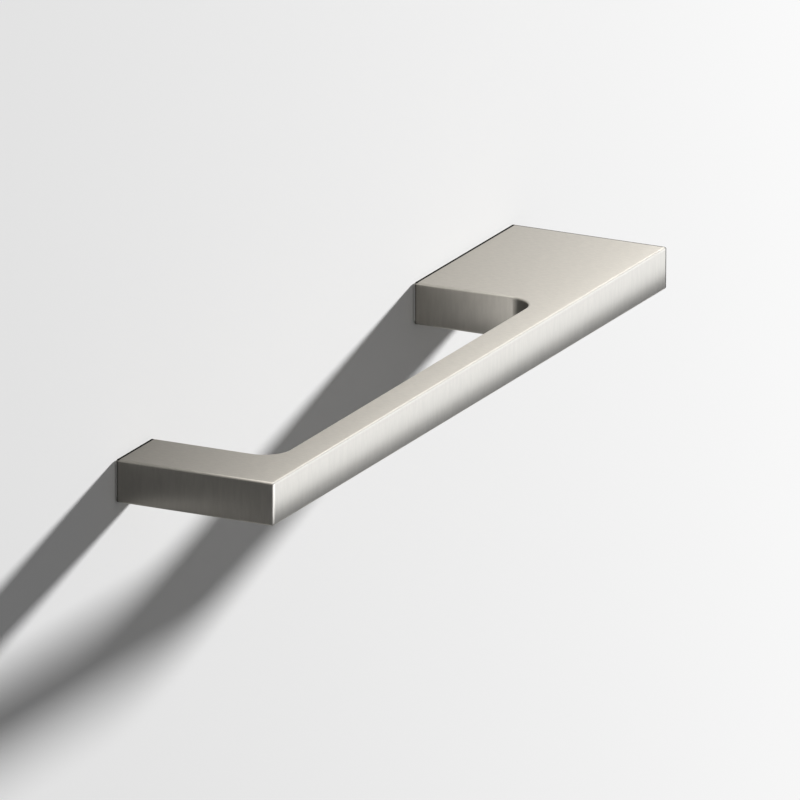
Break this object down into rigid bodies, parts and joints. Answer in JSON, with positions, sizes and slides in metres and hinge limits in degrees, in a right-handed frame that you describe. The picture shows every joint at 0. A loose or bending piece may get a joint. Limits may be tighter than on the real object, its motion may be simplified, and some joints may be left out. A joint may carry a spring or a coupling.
{
  "type": "cabinet pull",
  "caption": "Square-edged metal cabinet pull in one piece: a flat bar between a slim foot and a broad foot, with a tapped fixing hole in the back of each foot.",
  "frame": {"origin": "midway between the two fixing holes, on the plane of the feet's backs, where they meet the cabinet front", "axes": "+X along the bar from the slim foot to the broad foot, +Y into the cabinet front along the fixing holes, so that the bar is at -Y, and +Z across the bar's thickness, upwards when the pull is fitted lying across a drawer"},
  "size_m": [0.193, 0.0375, 0.0096],
  "materials": {
    "brushed_nickel": "satin nickel plating, brushed in fine lines"
  },
  "bodies": {
    "root": {"pull": "brushed_nickel"}
  },
  "joints": []
}
